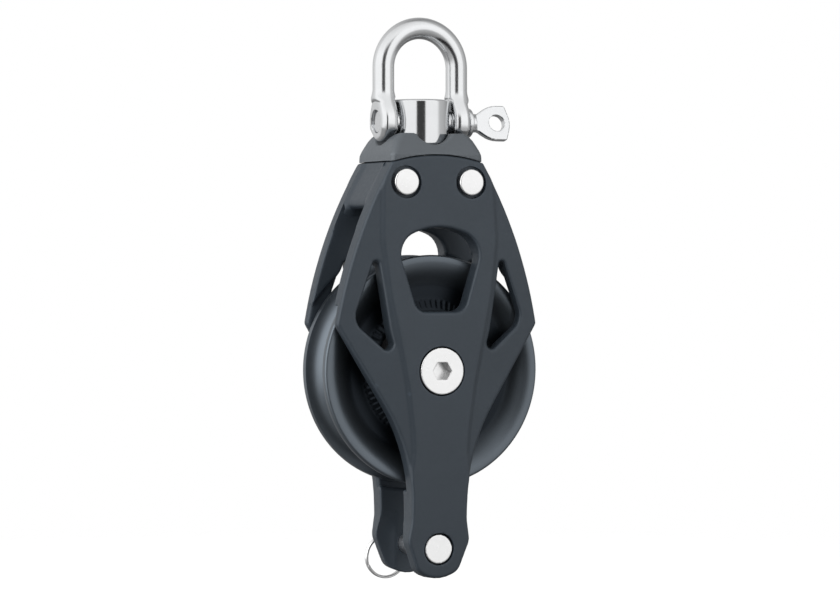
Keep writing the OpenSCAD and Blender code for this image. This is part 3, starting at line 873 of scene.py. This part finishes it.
KEPT = {
    "post_washer": SATIN, "post_nut": SATIN, "nut_lock_pin": SATIN, "axle_tube": POLISHED,
    "front_outer_race": RACE, "rear_outer_race": RACE, "front_inner_race": RACE, "rear_inner_race": RACE,
    "sleeve_bearing": COMPOSITE, "front_balls": ACETAL, "rear_balls": ACETAL,
}
for name, material in KEPT.items():
    data = frame["nodes"][name].data
    data.materials.clear()
    data.materials.append(material)


# Studio -----------------------------------------------------------------------------------------

# Where the camera stands, and the point that it looks at
AZIMUTH, ELEVATION, DISTANCE = math.radians(-23.68), math.radians(0.76), 1.1296
MIDDLE = (0, 0, 0.0242)
FLOOR_Z, FLOOR_GLOW, FLOOR_FADES = cad_box[0][2] - 0.03, 0.42, (0.2, 0.6)
# What stands round the object: degrees to the right of the camera's side, and brightness. White
# panels to the left and the front right, and a dimmer back.
PANELS = [(-180, 0.42), (-135, 0.6), (-102, 0.7), (-84, 0.95), (68, 0.95), (88, 0.5), (140, 0.3),
          (180, 0.42)]
# The dark gap between the two panels, and the sines of height between which it closes
GAP = [(-16, 1), (-10, 0.05), (18, 0.05), (24, 1)]
GAP_CLOSES = [(0.3, 0), (0.6, 1)]
# From straight down to straight up: sine of the height, and a factor on the panels
HEIGHTS = [(-1, 0.2), (-0.35, 0.4), (-0.1, 0.95), (0.35, 1.0), (0.8, 0.85), (1, 0.7)]
PANEL_STRENGTH = 1.25


def add_floor():
    """A pale floor that melts into the white backdrop away from the object. Nothing reflects it."""
    bpy.ops.mesh.primitive_circle_add(vertices=96, radius=3, fill_type="NGON", location=(0, 0, FLOOR_Z))
    made = bpy.context.object
    made.name = "studio_floor"
    pale = Finish("studio_floor", (0.8, 0.8, 0.8), 0.0, 0.9)
    pale.shader.inputs["Emission Color"].default_value = (1, 1, 1, 1)
    pale.shader.inputs["Emission Strength"].default_value = FLOOR_GLOW
    pale.fade_out(*FLOOR_FADES)
    made.data.materials.append(pale.material)
    made.visible_diffuse = made.visible_glossy = False


def area_light(name, place, target, size, power, spared):
    """A soft box that lights everything but the spared pieces, as a flag beside it would."""
    data = bpy.data.lights.new(name, "AREA")
    data.shape, data.size, data.size_y, data.energy = "RECTANGLE", size[0], size[1], power
    made = bpy.data.objects.new(name, data)
    made.location = place
    made.rotation_euler = (Vector(target) - Vector(place)).to_track_quat("-Z", "Y").to_euler()
    made.visible_camera = False
    bpy.context.scene.collection.objects.link(made)
    flagged = bpy.data.collections.new(name + "_flag")
    for spare in spared:
        flagged.objects.link(bpy.data.objects[spare])
    for entry in flagged.collection_objects:
        entry.light_linking.link_state = "EXCLUDE"
    made.light_linking.receiver_collection = flagged


def ramp(tree, value, stops, low, high):
    """A brightness that follows value, as stops between low and high say."""
    scaled = tree.nodes.new("ShaderNodeMapRange")
    scaled.inputs["From Min"].default_value, scaled.inputs["From Max"].default_value = low, high
    tree.links.new(value, scaled.inputs["Value"])
    made = tree.nodes.new("ShaderNodeValToRGB")
    made.color_ramp.interpolation = "EASE"
    while len(made.color_ramp.elements) < len(stops):
        made.color_ramp.elements.new(0.5)
    for element, (at, level) in zip(made.color_ramp.elements, stops):
        element.position = (at - low) / (high - low)
        element.color = (level, level, level, 1)
    tree.links.new(scaled.outputs["Result"], made.inputs["Fac"])
    return made.outputs["Color"]


def math_node(tree, operation, a, b):
    """A calculation with two values, each of which is a number or another node's output."""
    made = tree.nodes.new("ShaderNodeMath")
    made.operation = operation
    for socket, value in zip(made.inputs, (a, b)):
        if isinstance(value, (int, float)):
            socket.default_value = value
        else:
            tree.links.new(value, socket)
    return made.outputs["Value"]


def along(tree, direction, axis):
    """How far a direction points along an axis."""
    made = tree.nodes.new("ShaderNodeVectorMath")
    made.operation = "DOT_PRODUCT"
    tree.links.new(direction, made.inputs[0])
    made.inputs[1].default_value = axis
    return made.outputs["Value"]


def surroundings():
    """A white backdrop to look at, and soft panels for everything that the object reflects."""
    world = bpy.data.worlds.new("studio")
    world.use_nodes = True
    tree = world.node_tree
    direction = tree.nodes.new("ShaderNodeTexCoord").outputs["Generated"]
    to_front = along(tree, direction, (math.sin(AZIMUTH), -math.cos(AZIMUTH), 0))
    to_right = along(tree, direction, (math.cos(AZIMUTH), math.sin(AZIMUTH), 0))
    turn = math_node(tree, "DEGREES", math_node(tree, "ARCTAN2", to_right, to_front), 0)
    up = along(tree, direction, (0, 0, 1))
    closed = ramp(tree, up, GAP_CLOSES, -1, 1)
    gap = math_node(tree, "MAXIMUM", ramp(tree, turn, GAP, -180, 180), closed)
    panels = math_node(tree, "MULTIPLY", ramp(tree, turn, PANELS, -180, 180), gap)
    level = math_node(tree, "MULTIPLY", panels, ramp(tree, up, HEIGHTS, -1, 1))
    level = math_node(tree, "MULTIPLY", level, PANEL_STRENGTH)
    seen = tree.nodes.new("ShaderNodeLightPath").outputs["Is Camera Ray"]
    tree.links.new(math_node(tree, "MAXIMUM", level, seen), tree.nodes["Background"].inputs["Strength"])
    tree.nodes["Background"].inputs["Color"].default_value = (1, 1, 1, 1)
    bpy.context.scene.world = world


add_floor()
area_light("key_left", (-0.92, -0.25, 0.35), MIDDLE, (1.1, 1.3), 5,
           ("shackle_bow_forged", "shackle_pin_tabbed", "head_post_polished"))
surroundings()
bpy.context.scene.view_settings.view_transform = "Standard"

away = Vector((math.sin(AZIMUTH) * math.cos(ELEVATION), -math.cos(AZIMUTH) * math.cos(ELEVATION),
               math.sin(ELEVATION)))
camera_data = bpy.data.cameras.new("camera")
camera_data.lens, camera_data.sensor_width = 139.05, 36
camera_data.clip_start = 0.01
camera = bpy.data.objects.new("camera", camera_data)
camera.location = Vector(MIDDLE) + away * DISTANCE
camera.rotation_euler = (-away).to_track_quat("-Z", "Y").to_euler()
bpy.context.scene.collection.objects.link(camera)
bpy.context.scene.camera = camera
